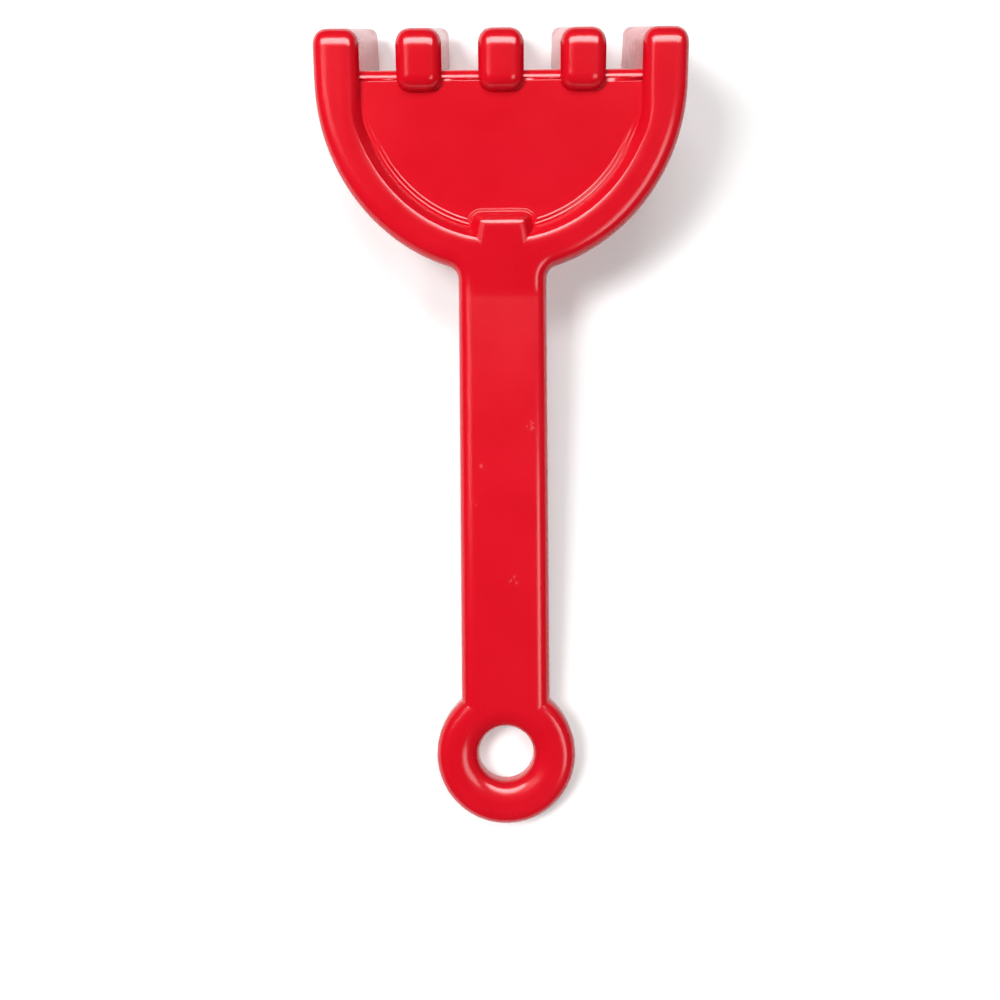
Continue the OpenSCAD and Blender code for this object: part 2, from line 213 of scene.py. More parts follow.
class Skin:
    """Grids and flat fills, given with their normals, that become one merged mesh."""

    def __init__(self):
        self.points, self.normals, self.corners, self.sizes, self.count = [], [], [], [], 0

    def grid(self, points, normals, both_sides=False):
        """Squares between the neighbours of an m by n grid of points, turned to face
        along their normals. With both_sides the grid is repeated for negative x."""
        points, normals = np.broadcast_arrays(np.asarray(points, float), np.asarray(normals, float))
        m, n = points.shape[:2]
        i = np.arange(m * n).reshape(m, n)
        quads = np.stack([i[:-1, :-1], i[1:, :-1], i[1:, 1:], i[:-1, 1:]], -1).reshape(-1, 4)
        for flip in BOTH_SIDES if both_sides else BOTH_SIDES[:1]:
            self._add(points.reshape(-1, 3) * flip, normals.reshape(-1, 3) * flip, quads)

    def fill(self, points, plan, normal):
        """Triangles over the flat polygon with these corners. Plan gives the same
        corners in two coordinates, and normal is the one they all get."""
        cut = tessellate_polygon([[Vector((float(a), float(b), 0.0)) for a, b in plan]])
        self._add(points, np.broadcast_to(normal, points.shape), np.array(cut))

    def _add(self, points, normals, faces):
        """Adds faces of three or four corners, turned to face along their normals."""
        size = faces.shape[1]
        a, b, c, d = (points[faces[:, k % size]] for k in range(4))
        across = np.cross(c - a, d - b) if size == 4 else np.cross(b - a, c - a)
        inward = np.einsum("ij,ij->i", across, normals[faces].sum(1)) < 0
        faces = np.where(inward[:, None], faces[:, ::-1], faces)
        self.points.append(points)
        self.normals.append(normals)
        self.corners.append((faces + self.count).reshape(-1))
        self.sizes.append(np.full(len(faces), size))
        self.count += len(points)

    def make(self, name, finish, nodes):
        """Merges corners that round to the same tenth of a micrometre, drops the
        squares that have shrunk to a line, and keeps each corner's own normal."""
        points, normals = np.concatenate(self.points), unit(np.concatenate(self.normals))
        metres = to_metres(points)
        normals = turned(normals, REST_TILT)
        rounded = np.round(metres * MERGE_PER_M)
        _, first, same = np.unique(rounded, axis=0, return_index=True, return_inverse=True)
        corners = np.concatenate(self.corners)
        sizes = np.concatenate(self.sizes)
        face = np.repeat(np.arange(len(sizes)), sizes)
        start = first_corners(sizes)
        following = np.arange(len(corners)) + 1
        following = np.where(following < (start + sizes)[face], following, start[face])
        vertex = same.reshape(-1)[corners]
        keep = vertex != vertex[following]
        left = np.bincount(face[keep], minlength=len(sizes))
        keep &= left[face] >= 3
        sizes = left[left >= 3]
        mesh = bpy.data.meshes.new(name)
        mesh.vertices.add(len(first))
        mesh.vertices.foreach_set("co", metres[first].astype(np.float32).ravel())
        mesh.loops.add(int(keep.sum()))
        mesh.loops.foreach_set("vertex_index", vertex[keep].astype(np.int32))
        mesh.polygons.add(len(sizes))
        mesh.polygons.foreach_set("loop_start", first_corners(sizes).astype(np.int32))
        mesh.update(calc_edges=True)
        mesh.validate()
        mesh.polygons.foreach_set("use_smooth", np.ones(len(mesh.polygons), bool))
        if len(mesh.loops) == int(keep.sum()):
            mesh.normals_split_custom_set(normals[corners[keep]].tolist())
        else:
            print(name, "lost", int(keep.sum()) - len(mesh.loops), "corners")
        mesh.materials.append(finish)
        piece = bpy.data.objects.new(name, mesh)
        bpy.context.scene.collection.objects.link(piece)
        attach(piece, "root")
        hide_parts(*nodes)
        return piece


# ---------------------------------------------------------------- profiles
def bow(centre, radius, start, end, steps, inside=False):
    """Points of an arc and their normals: centre + radius (cos, sin), for the angles
    from start to end; inside turns the normals to the centre."""
    angle = np.radians(np.linspace(start, end, steps + 1))
    out = np.stack([np.cos(angle), np.sin(angle)], -1)
    return np.asarray(centre) + radius * out, -out if inside else out


def line(start, end, normal, steps=1):
    """Points evenly from start to end, all with the one normal."""
    t = np.linspace(0.0, 1.0, steps + 1)[:, None]
    points = (1 - t) * np.asarray(start, float) + t * np.asarray(end, float)
    return points, np.broadcast_to(np.asarray(normal, float), points.shape)


def joined(*parts):
    return np.concatenate([p[0] for p in parts]), np.concatenate([p[1] for p in parts])


def crown(edge):
    """A rounded edge as a profile, from the flat it leaves."""
    _, turn, _, last = edge
    wide = np.linspace(0, turn, WIDE_STEPS + 1)
    narrow = np.linspace(turn, last, NARROW_STEPS + 1)[1:]
    tilt = np.concatenate([wide, narrow])
    out, down = rounding(tilt, edge)
    t = np.radians(tilt)
    return np.stack([out, -down], -1), np.stack([np.sin(t), np.cos(t)], -1)


def wall_foot(outer, inner, bottom):
    """A wall's foot from its outer side to its inner one: a small arc at each, and the
    level line between."""
    centre = bottom + FOOT_R
    return joined(
        bow((outer - FOOT_R, centre), FOOT_R, 0, -90, FOOT_STEPS),
        line((outer - FOOT_R, bottom), (inner + FOOT_R, bottom), (0, -1)),
        bow((inner + FOOT_R, centre), FOOT_R, -90, -180, FOOT_STEPS),
    )


def carried(origins, sides, ups, profile):
    """A profile carried along a path: origin + a side + v up, for each point (a, v)."""
    points, normals = profile
    a, v = points[:, 0, None], points[:, 1, None]
    na, nv = normals[:, 0, None], normals[:, 1, None]
    sides, ups = sides[:, None], ups[:, None]
    return origins[:, None] + a * sides + v * ups, na * sides + nv * ups


# ---------------------------------------------------------------- the shell
def edge_profile():
    """The shell's outer edge from its flat top round the rounded edge, down the wall,
    round its foot, up inside and round to the ceiling."""
    wall, inner = EDGE_A - WALL, EDGE_R - WALL
    foot = -SHELL_H + FOOT_R
    return joined(
        crown(EDGE),
        line((EDGE_A, -EDGE_D), (EDGE_A, foot), (1, 0), 3),
        wall_foot(EDGE_A, wall, -SHELL_H),
        line((wall, foot), (wall, -EDGE_R), (-1, 0), 3),
        bow((wall - inner, -EDGE_R), inner, 0, 90, INNER_STEPS, inside=True),
        line((wall - inner, -WALL), (0, -WALL), (0, -1)),
    )


def edge_path():
    """Where the rounded edge starts on the flat top, right side: along the grip, up the
    bend, round the hollow corner and along the rim's arc to the outer tooth. Each
    stop has an origin, the direction out to the side and the direction up. The head's
    stops are also given in plan."""
    y = np.linspace(GRIP_START, GRIP_L - BEND_RUN, GRIP_ROWS)
    one, nil = np.ones_like(y), np.zeros_like(y)
    grip = (
        np.stack([EDGE_X * one, y, nil], -1),
        np.stack([one, nil, nil], -1),
        np.stack([nil, nil, one], -1),
    )
    phi = np.radians(np.linspace(0.0, HEAD_TILT, BEND_ROWS + 1))[1:]
    one, nil = np.ones_like(phi), np.zeros_like(phi)
    y, z = GRIP_L - BEND_RUN + BEND_R * np.sin(phi), BEND_R - BEND_R * np.cos(phi)
    bend = (
        np.stack([EDGE_X * one, y, z], -1),
        np.stack([one, nil, nil], -1),
        np.stack([nil, -np.sin(phi), np.cos(phi)], -1),
    )
    alpha = np.radians(np.linspace(180.0, 90.0 + FILLET_ANGLE, FILLET_ROWS))
    theta = np.radians(np.linspace(FILLET_ANGLE, 90.0, RIM_ROWS + 1))[1:]
    fillet_out = np.stack([-np.cos(alpha), -np.sin(alpha)], -1)
    rim_out = np.stack([np.sin(theta), -np.cos(theta)], -1)
    fillet = np.array([FILLET_X, FILLET_U]) - (FILLET_R + EDGE_A) * fillet_out
    rim = np.array([0.0, ARC_U]) + (ARC_R - EDGE_A) * rim_out
    plan, out = np.concatenate([fillet, rim]), np.concatenate([fillet_out, rim_out])
    head = (
        at_height(plan, 0.0),
        turned(np.concatenate([out, np.zeros((len(out), 1))], -1), HEAD_TILT),
        np.broadcast_to(HEAD_UP, (len(out), 3)),
    )
    return [np.concatenate([a, b, c]) for a, b, c in zip(grip, bend, head)], plan


def in_ring(x, depth):
    """How far along the grip its skin ends inside the ring: on a circle that grows
    from the ring's rounded edge at the top to the middle of its wall below."""
    radius = RING_R - EDGE_A + (EDGE_A - WALL / 2) * smooth(depth, JOIN_DEPTH, WALL)
    return np.sqrt(radius**2 - np.minimum(x, EDGE_X + EDGE_A) ** 2)


def slope_out(v, edge):
    """How far the slope's surface lies out from its foot at height v, and its normal:
    a straight slope up from (0, -drop) and the rounded edge that it ends in."""
    out, down = rounding(edge[3], edge)
    width = out + (PLATE_DROP - down) / np.tan(np.radians(edge[3]))
    tilt = tilt_at(-v, edge)
    on_edge, _ = rounding(tilt, edge)
    at = np.where(-v < down, width - on_edge, (PLATE_DROP + v) / np.tan(np.radians(edge[3])))
    t = np.radians(tilt)
    return at, np.stack([-np.sin(t), np.cos(t)], -1)


# The inner edge's rows: the slope's heights, then those of the beads across their width.
SLOPE_V = -np.concatenate(
    [
        LIP_WIDE * np.linspace(0, 1, 16) ** 2,
        np.linspace(LIP_WIDE, LIP_END, 12)[1:],
        np.linspace(LIP_END, PLATE_DROP, 15)[1:],
    ]
)
BEADS_T = np.linspace(0.0, 1.0, 33)
EDGE_V = np.concatenate([SLOPE_V, -PLATE_DROP + BEAD_H * np.sin(2 * np.pi * BEADS_T) ** 2])
ON_PLATE = np.arange(len(EDGE_V)) >= len(SLOPE_V)


def slope_and_beads(edge, width):
    """The slope below a lip and the two fine beads h sin^2 (2 pi t) over a width inside
    its foot: how far out from the foot each row lies, and its normal."""
    out, normals = slope_out(SLOPE_V, edge)
    steep = BEAD_H * 2 * np.pi * np.sin(4 * np.pi * BEADS_T)
    bead_n = unit(np.stack([steep / width, np.ones_like(steep)], -1))
    return np.concatenate([out, -width * BEADS_T]), np.concatenate([normals, bead_n])


def in_head(direction, normals):
    """Normals (a, v) of a profile that is laid along a direction of the head's plan."""
    flat = direction * normals[..., :1]
    upright = np.broadcast_to(normals[..., 1:], flat.shape[:-1] + (1,))
    return turned(np.concatenate([flat, upright], -1), HEAD_TILT)


def tongue_edge(out, normals, radius):
    """The inner edge round the tongue, right side, with its rows this far out from the
    slope's foot: from the middle of the tip round its corner and down its side to the
    valley, where each row meets the one of this radius on the arc. Gives points,
    normals, plan and the valley as seen from the arc's centre."""
    centre = np.array([0.0, ARC_U])
    corner = np.array([TONGUE_TIP / 2, NECK_L + RIM_W + TONGUE_L])
    base = np.array([TONGUE_BASE / 2, NECK_L + RIM_W - TONGUE_ROOT])
    along = unit(corner - base)
    side = np.array([along[1], -along[0]])
    beyond = TONGUE_FOOT - out
    mitre = (side + np.array([0.0, 1.0])) / (1.0 + side[1])
    last = np.degrees(np.arctan2(side[1], side[0]))
    turn = np.radians(np.linspace(90.0, last, CONE_STOPS))
    spoke = np.stack([np.cos(turn), np.sin(turn)], -1)
    flare = np.linspace(1.0, TONGUE_FLARE, CONE_STOPS)[:, None, None]
    far = np.maximum(beyond, 0.0)[None, :, None] * flare
    near = np.minimum(beyond, 0.0)[None, :, None]
    cone = corner + far * spoke[:, None] + near * mitre
    tip = np.repeat(cone[:1], 2, 0)
    tip[0, :, 0] = 0.0
    start = cone[-1] - centre
    dot = start @ along
    reach = dot + np.sqrt(dot**2 - (start**2).sum(-1) + radius**2)
    valley = start - reach[:, None] * along
    t = np.linspace(0.0, 1.0, FLANK_STOPS)[:, None, None]
    flank = (1 - t) * cone[-1] + t * (valley + centre)
    plan = np.concatenate([tip, cone, flank])
    heading = np.concatenate([spoke[:1], spoke[:1], spoke, np.repeat(side[None], FLANK_STOPS, 0)])
    facing = in_head(-heading[:, None], np.broadcast_to(normals, plan.shape))
    return at_height(plan, EDGE_V), facing, plan, valley


def arc_edge(out, normals, radius, valley):
    """The inner edge along the arc, right side, from the valley to the outer tooth,
    whose side it turns into: points, normals and plan."""
    theta0 = np.arctan2(valley[:, 0], -valley[:, 1])
    w = np.linspace(0.0, 1.0, ARC_STOPS)[:, None]
    theta = theta0 * (1 - w) + np.pi / 2 * w
    spoke = np.stack([np.sin(theta), -np.cos(theta)], -1)
    plan = np.array([0.0, ARC_U]) + radius[None, :, None] * spoke
    blend = smooth(np.degrees(theta), *TURN_IN)
    fade = 1 - smooth(np.degrees(theta), *BEADS_FADE)
    tilt = tilt_at(-EDGE_V, EDGE)
    tooth_x = OUTER_X - HALF_W + np.where(ON_PLATE, out, EDGE_A - rounding(tilt, EDGE)[0])
    tooth_n = np.stack([-np.sin(np.radians(tilt)), np.cos(np.radians(tilt))], -1)
    tooth_n[ON_PLATE] = (0.0, 1.0)
    plan[..., 0] = (1 - blend) * plan[..., 0] + blend * tooth_x
    height = np.where(ON_PLATE, -PLATE_DROP + fade * (EDGE_V + PLATE_DROP), EDGE_V)
    rim = np.broadcast_to(normals, plan.shape).copy()
    flatter = np.stack([fade[:, ON_PLATE], np.ones_like(fade[:, ON_PLATE])], -1)
    rim[:, ON_PLATE] = unit(rim[:, ON_PLATE] * flatter)
    rim_n = in_head(spoke, rim)
    side_n = in_head(np.array([1.0, 0.0]), np.broadcast_to(tooth_n, plan.shape))
    facing = unit((1 - blend)[..., None] * rim_n + blend[..., None] * side_n)
    return at_height(plan, height), facing, plan


def shell_edge(skin, origins, sides, ups):
    """The rounded edge and its wall on both sides, from inside the ring to the ends of
    the rim, closed at both."""
    profile = edge_profile()
    points, normals = carried(origins, sides, ups, profile)
    first = points[0].copy()
    first[:, 1] = in_ring(first[:, 0], -first[:, 2])
    points = np.concatenate([first[None], points])
    normals = np.concatenate([normals[:1], normals])
    skin.grid(points, normals, both_sides=True)
    for flip in BOTH_SIDES:
        skin.fill(first * flip, first[:, ::2], (0, -1, 0))
        skin.fill(points[-1] * flip, profile[0], HEAD_AHEAD)


def grip_flats(skin, origins, ups, x):
    """The flat top and the ceiling of the grip, as far as the end of the bend, and
    their end inside the ring."""
    count = GRIP_ROWS + BEND_ROWS
    ends = []
    for depth, sign in ((0.0, 1.0), (WALL, -1.0)):
        rows = origins[:count, None] - depth * ups[:count, None]
        rows = np.repeat(rows, len(x), 1)
        rows[..., 0] = x
        end = np.stack([x, in_ring(np.abs(x), depth), np.full(len(x), -depth)], -1)
        rows = np.concatenate([end[None], rows])
        skin.grid(rows, np.concatenate([ups[:1], ups[:count]])[:, None] * sign)
        ends.append(end)
    skin.grid(np.stack(ends), (0, -1, 0))


def head_top(skin, outer, inner, x):
    """The flat top from the bend to the outer teeth, outside round and inside back,
    with its underside and the ends of the rim."""
    bend_end = np.stack([x, np.full(len(x), BEND_RUN)], -1)
    half = len(x) // 2 + 1
    right = np.concatenate([bend_end[half:], outer, inner[::-1]])
    left = np.concatenate([(inner * MIRROR)[1:], (outer * MIRROR)[::-1], bend_end[:half]])
    loop = np.concatenate([right, left])
    for depth, sign in ((0.0, 1.0), (WALL, -1.0)):
        skin.fill(at_height(loop, -depth), loop, HEAD_UP * sign)
    gap = np.array([[ARC_R - EDGE_A, ARC_U], [inner[-1][0], ARC_U]])
    for flip in (np.ones(2), MIRROR):
        ends = [at_height(gap * flip, height) for height in (0.0, -WALL)]
        skin.grid(np.stack(ends), HEAD_AHEAD)


def plate(skin, edge, side_row):
    """The plate inside the beads, notched for the teeth, with its turned-down front.
    Edge is its outline along the beads and side_row the place where the slope's foot
    ends at the outer tooth, both on the right side."""
    flange_u = ARC_U + PLATE_FRONT - FLANGE_R
    notch_x, notch_u = HALF_W - NOTCH_SIDE, BOSS_U + NOTCH_REAR
    notch_r = CORNER_R - NOTCH_CORNER
    corner = bow((-notch_x + notch_r, notch_u + notch_r), notch_r, 180, 270, 8)[0]
    left, right = [(-notch_x, flange_u)], [(notch_x, flange_u)]
    notch = np.concatenate([left, corner, (corner * MIRROR)[::-1], right])
    wall_x, start = OUTER_X - notch_x, ARC_U + PLATE_PAST
    front = [np.array([[-wall_x, start], [-wall_x, flange_u]])]
    front += [notch + (k * TOOTH_PITCH, 0.0) for k in (-1, 0, 1)]
    front += [np.array([[wall_x, flange_u], [wall_x, start]])]
    back = [side_row, edge[::-1], (edge * MIRROR)[1:], (side_row * MIRROR)[::-1]]
    loop = np.concatenate([*front, *back])
    cuts = np.cumsum([0] + [len(part) for part in front])
    rims = []
    for depth, sign in ((PLATE_DROP, 1.0), (PLATE_LOW, -1.0)):
        corners = at_height(loop, -depth)
        skin.fill(corners, loop, HEAD_UP * sign)
        rims.append(corners)
    for begin, end in zip(cuts[:-1], cuts[1:]):
        skin.grid(np.stack(rims)[:, begin:end], HEAD_AHEAD)

    outer, low = flange_u + FLANGE_R, -PLATE_DROP - FLANGE_R
    flange = joined(
        bow((flange_u, low), FLANGE_R, 90, 0, 16),
        wall_foot(outer, outer - WALL, -SHELL_H + FLANGE_UP),
        bow((flange_u, low), FLANGE_R - WALL, 0, 90, INNER_STEPS, inside=True),
    )
    stops = [-wall_x, -TOOTH_PITCH - notch_x, -TOOTH_PITCH + notch_x, -notch_x, notch_x]
    stops += [TOOTH_PITCH - notch_x, TOOTH_PITCH + notch_x, wall_x]
    side = np.array([1.0, 0.0, 0.0])
    for left, right in zip(stops[::2], stops[1::2]):
        base = from_head([[left, 0.0, 0.0], [right, 0.0, 0.0]])
        directions = np.stack([HEAD_AHEAD] * 2), np.stack([HEAD_UP] * 2)
        strip, strip_n = carried(base, *directions, flange)
        skin.grid(strip, strip_n)
        skin.fill(strip[0], flange[0], -side)
        skin.fill(strip[1], flange[0], side)


def body(finish):
    """Grip, bend, neck, rim, tongue and plate as one moulding of even thickness."""
    skin = Skin()
    (origins, sides, ups), outer = edge_path()
    x = np.linspace(-EDGE_X, EDGE_X, ACROSS)
    shell_edge(skin, origins, sides, ups)
    grip_flats(skin, origins, ups, x)

    # lip, slope and beads, with the same surface one wall lower, closed at the teeth
    rim_out, rim_n = slope_and_beads(RIM_LIP, BEADS_RIM)
    tongue_out, tongue_n = slope_and_beads(TONGUE_LIP, BEADS_TONGUE)
    radius = SLOPE_FOOT_R + rim_out
    tongue, facing, tongue_plan, valley = tongue_edge(tongue_out, tongue_n, radius)
    arc, arc_facing, arc_plan = arc_edge(rim_out, rim_n, radius, valley)
    for grid, grid_n in ((tongue, facing), (arc, arc_facing)):
        skin.grid(grid, grid_n, both_sides=True)
        skin.grid(grid - WALL * HEAD_UP, -grid_n, both_sides=True)
    end = arc[-1, : len(SLOPE_V)]
    for flip in BOTH_SIDES:
        skin.grid(np.stack([end, end - WALL * HEAD_UP]) * flip, HEAD_AHEAD)

    head_top(skin, outer, np.concatenate([tongue_plan[:, 0], arc_plan[:, 0]]), x)
    side_row = arc_plan[-1, len(SLOPE_V) : len(SLOPE_V) + 1]
    plate(skin, np.concatenate([tongue_plan[:, -1], arc_plan[:, -1]]), side_row)
    nodes = ("grip", "neck_bend", "neck", "rim_left", "rim_right", "head_plate", "plate_bead")
    return skin.make("grip_and_head", finish, nodes)


# ---------------------------------------------------------------- the ring
def funnel_mouth():
    """The hole's mouth from its wall up to the flat: its tilt t falls from 90 degrees
    over arcs of three radii, and each step moves the point by R (sin t, -cos t) dt."""
    start = 0.0
    points, normals = [np.array([[0.0, 0.0]])], [np.array([[0.0, 1.0]])]
    for radius, turn, steps in MOUTH_ARCS:
        t, t0 = np.radians(np.linspace(start, turn, steps + 1))[1:], np.radians(start)
        step = radius * np.stack([np.sin(t0) - np.sin(t), np.cos(t) - np.cos(t0)], -1)
        points.append(points[-1][-1] + step)
        normals.append(np.stack([-np.sin(t), np.cos(t)], -1))
        start = turn
    points, normals = np.concatenate(points)[::-1], np.concatenate(normals)[::-1]
    return points + (HOLE_R - points[0, 0], 0.0), normals


def ring(finish):
    """The hang ring with its funnelled hole: one closed section turned full round."""
    skin = Skin()
    slope = FUNNEL_H / (FUNNEL_R - HOLE_R)
    angle = np.arctan(slope)
    under = WALL / np.cos(angle)
    collar = HOLE_R + WALL
    ceiling_end = (FUNNEL_R - (under - WALL) / slope, -WALL)
    collar_top = (collar, -(FUNNEL_R - collar) * slope - under)
    foot = -SHELL_H + FOOT_R
    inner_wall, inner_x = RING_R - WALL, RING_R - EDGE_R
    mouth, mouth_n = funnel_mouth()
    edge, edge_n = crown(EDGE)
    section = joined(
        line(mouth[-1], (RING_R - EDGE_A, 0), (0, 1), 2),
        (edge + (RING_R - EDGE_A, 0.0), edge_n),
        line((RING_R, -EDGE_D), (RING_R, foot), (1, 0), 2),
        wall_foot(RING_R, inner_wall, -SHELL_H),
        line((inner_wall, foot), (inner_wall, -EDGE_R), (-1, 0), 2),
        bow((inner_x, -EDGE_R), EDGE_R - WALL, 0, 90, INNER_STEPS, inside=True),
        line((inner_x, -WALL), ceiling_end, (0, -1)),
        line(ceiling_end, collar_top, (np.sin(angle), -np.cos(angle))),
        line(collar_top, (collar, foot), (1, 0)),
        wall_foot(collar, HOLE_R, -SHELL_H),
        line((HOLE_R, foot), mouth[0], (-1, 0)),
        (mouth, mouth_n),
    )
    turn = np.linspace(0.0, 2 * np.pi, RING_STOPS)
    turn[-1] = 0.0
    sides = np.stack([np.cos(turn), np.sin(turn), np.zeros(RING_STOPS)], -1)
    ups = np.broadcast_to(np.array([0.0, 0.0, 1.0]), sides.shape)
    skin.grid(*carried(np.zeros((RING_STOPS, 3)), sides, ups, section))
    return skin.make("hang_ring_with_hole", finish, ("hang_ring", "hang_hole_collar"))


# ---------------------------------------------------------------- the teeth
def side_view(rear, low, boss):
    """A tooth's outline seen from its right, forward and up: each stop has a point, its
    normal, the depth of the side's rounding there and the place on the tooth's open
    rear and lower edge that its side face runs to, with that edge's normal."""
    parts, depths = [], []

    def add(part, depth):
        parts.append(part)
        depths.append(np.broadcast_to(depth, len(part[0])))

    begin = rear
    if boss:
        begin = rear + BOSS_R
        add(line((rear, -low), (rear, -BOSS_R), (-1, 0), 4), EDGE_D)
        add(bow((begin, -BOSS_R), BOSS_R, 180, 90, 14), EDGE_D)
    out, down = rounding(SHOULDER[3], SHOULDER)
    run = down / np.cos(LEAN)
    flat_end = FRONT_U + run * np.sin(LEAN) - out
    add(line((begin, 0), (flat_end, 0), (0, 1), 4), EDGE_D)
    shoulder, shoulder_n = crown(SHOULDER)
    add((shoulder + (flat_end, 0.0), shoulder_n), EDGE_D)
    t = np.linspace(0.0, 1.0, FRONT_STEPS + 1)
    depth = EDGE_D + (CORNER_R - EDGE_D) * smooth(t, *BELOW_SHOULDER)
    depth = depth + (TIP_R - CORNER_R) * smooth(t, *ABOVE_TIP)
    front_start = np.array([FRONT_U, 0.0]) + run * DOWN
    add(line(front_start, TIP - TIP_R * DOWN, AHEAD, FRONT_STEPS), depth)
    lean = TOOTH_LEAN
    tip_centre = TIP - TIP_R * DOWN - TIP_R * AHEAD
    heel_centre = HEEL + TIP_R * AHEAD - TIP_R * DOWN
    add(bow(tip_centre, TIP_R, lean, lean - 90, TIP_STEPS), TIP_R)
    add(line(TIP - TIP_R * AHEAD, HEEL + TIP_R * AHEAD, DOWN, END_STEPS), TIP_R)
    t = np.linspace(0.0, 1.0, TIP_STEPS + 1)
    depth = TIP_R + (FOOT_R - TIP_R) * smooth(t, 0.0, 1.0)
    add(bow(heel_centre, TIP_R, lean - 90, lean - 180, TIP_STEPS), depth)
    points, normals = joined(*parts)
    depth = np.concatenate(depths)

    # The rear and lower edge runs from its start over a knee to the heel. Each stop's
    # place on it goes half by the stop's number and half by the outline's length.
    start = np.array([begin, -low])
    knee = np.array([HEEL[0] + (low + HEEL[1]) * np.tan(LEAN), -low])
    heel_end = HEEL - TIP_R * DOWN
    first, second = np.linalg.norm(knee - start), np.linalg.norm(heel_end - knee)
    steps = np.diff(points - depth[:, None] * normals, axis=0)
    length = np.concatenate([[0], np.cumsum(np.linalg.norm(steps, axis=-1))])
    share = np.arange(len(points)) / (len(points) - 1.0)
    travelled = 0.5 * share + 0.5 * length / length[-1]
    travelled = np.clip(travelled, 0.0, 1.0) * (first + second)
    before_knee = (travelled < first)[:, None]
    edge = np.where(
        before_knee,
        start + (knee - start) * (travelled / first)[:, None],
        knee + (heel_end - knee) * ((travelled - first) / second)[:, None],
    )
    facing = np.where(before_knee, np.array([0.0, -1.0]), -AHEAD)
    return points, normals, depth, edge, facing


def tooth(name, node, finish, centre_x, boss):
    """A hollow tooth open at the back. Across each stop of the side view runs the flat
    face, a rounded edge on each side, scaled to the depth it has there, and the side
    face. The inside is the same surface moved in by the wall along its normals."""
    rear, low = (BOSS_U, PLATE_LOW) if boss else (ARC_U, SHELL_H)
    points, normals, depth, edge, facing = side_view(rear, low, boss)
    skin = Skin()
    profile, tilt = crown(EDGE)
    t = np.arctan2(tilt[:, 0], tilt[:, 1])
    r = (depth / EDGE_D)[:, None]
    x = HALF_W - r * (EDGE_A - profile[:, 0])
    bowed = points[:, None] + (r * profile[:, 1])[..., None] * normals[:, None]
    bowed_n = np.cos(t)[None, :, None] * normals[:, None]
    side_x = np.broadcast_to(np.sin(t), x.shape)
    flat_x = np.linspace(-1.0, 1.0, FACE_STOPS) * (HALF_W - r * EDGE_A)
    flat, flat_n = (np.repeat(rows[:, None], FACE_STOPS, 1) for rows in (points, normals))
    share = np.linspace(0.0, 1.0, FACE_STOPS)[None, :, None]
    face = bowed[:, -1:] * (1 - share) + edge[:, None] * share

    def put(across, plan):
        across = np.broadcast_to(across, plan.shape[:-1])
        return from_head(np.stack([across + centre_x, plan[..., 0], plan[..., 1]], -1))

    def face_out(across, plan):
        across = np.broadcast_to(across, plan.shape[:-1])
        return turned(np.stack([across, plan[..., 0], plan[..., 1]], -1), HEAD_TILT)

    grids = [(put(flat_x, flat), face_out(0.0, flat_n))]
    for s in (1.0, -1.0):
        grids.append((put(s * x, bowed), face_out(s * side_x, bowed_n)))
        grids.append((put(s * HALF_W, face), face_out(s, np.zeros_like(face))))
    rear_n, heel_n = -HEAD_UP if boss else -HEAD_AHEAD, face_out(0.0, -DOWN)
    for grid, grid_n in grids:
        skin.grid(grid, grid_n)
        skin.grid(grid - WALL * grid_n, -grid_n)
        for row, row_n in ((0, rear_n), (-1, heel_n)):
            skin.grid(np.stack([grid[row], grid[row] - WALL * grid_n[row]]), row_n)
    for s in (1.0, -1.0):
        rims = [put(s * HALF_W, edge), put(s * (HALF_W - WALL), edge)]
        skin.grid(np.stack(rims), face_out(0.0, facing)[None])
    return skin.make(name, finish, (node,))


# ---------------------------------------------------------------- materials
class Wire:
    """A socket on which Python's arithmetic works, by adding Math nodes."""

    def __init__(self, finish, socket):
        self.finish, self.socket = finish, socket

    def _math(self, operation, *values):
        made = self.finish.tree.nodes.new("ShaderNodeMath")
        made.operation = operation
        for socket, value in zip(made.inputs, values):
            self.finish.join(socket, value)
        return Wire(self.finish, made.outputs[0])

    def __add__(self, other):
        return self._math("ADD", self, other)

    __radd__ = __add__

    def __sub__(self, other):
        return self._math("SUBTRACT", self, other)

    def __rsub__(self, other):
        return self._math("SUBTRACT", other, self)

    def __mul__(self, other):
        return self._math("MULTIPLY", self, other)

    def __truediv__(self, other):
        return self._math("DIVIDE", self, other)

    def __pow__(self, other):
        return self._math("POWER", self, other)

    def least(self, other):
        return self._math("MINIMUM", self, other)

    def most(self, other):
        return self._math("MAXIMUM", self, other)

    def size(self):
        return self._math("ABSOLUTE", self)

    def root(self):
        return self._math("SQRT", self.most(0.0))

    def zigzag(self, scale):
        return self._math("PINGPONG", self, scale)

    def between(self, low, high):
        """0 below low and 1 above high, straight between."""
        return ((self - low) / (high - low)).least(1.0).most(0.0)


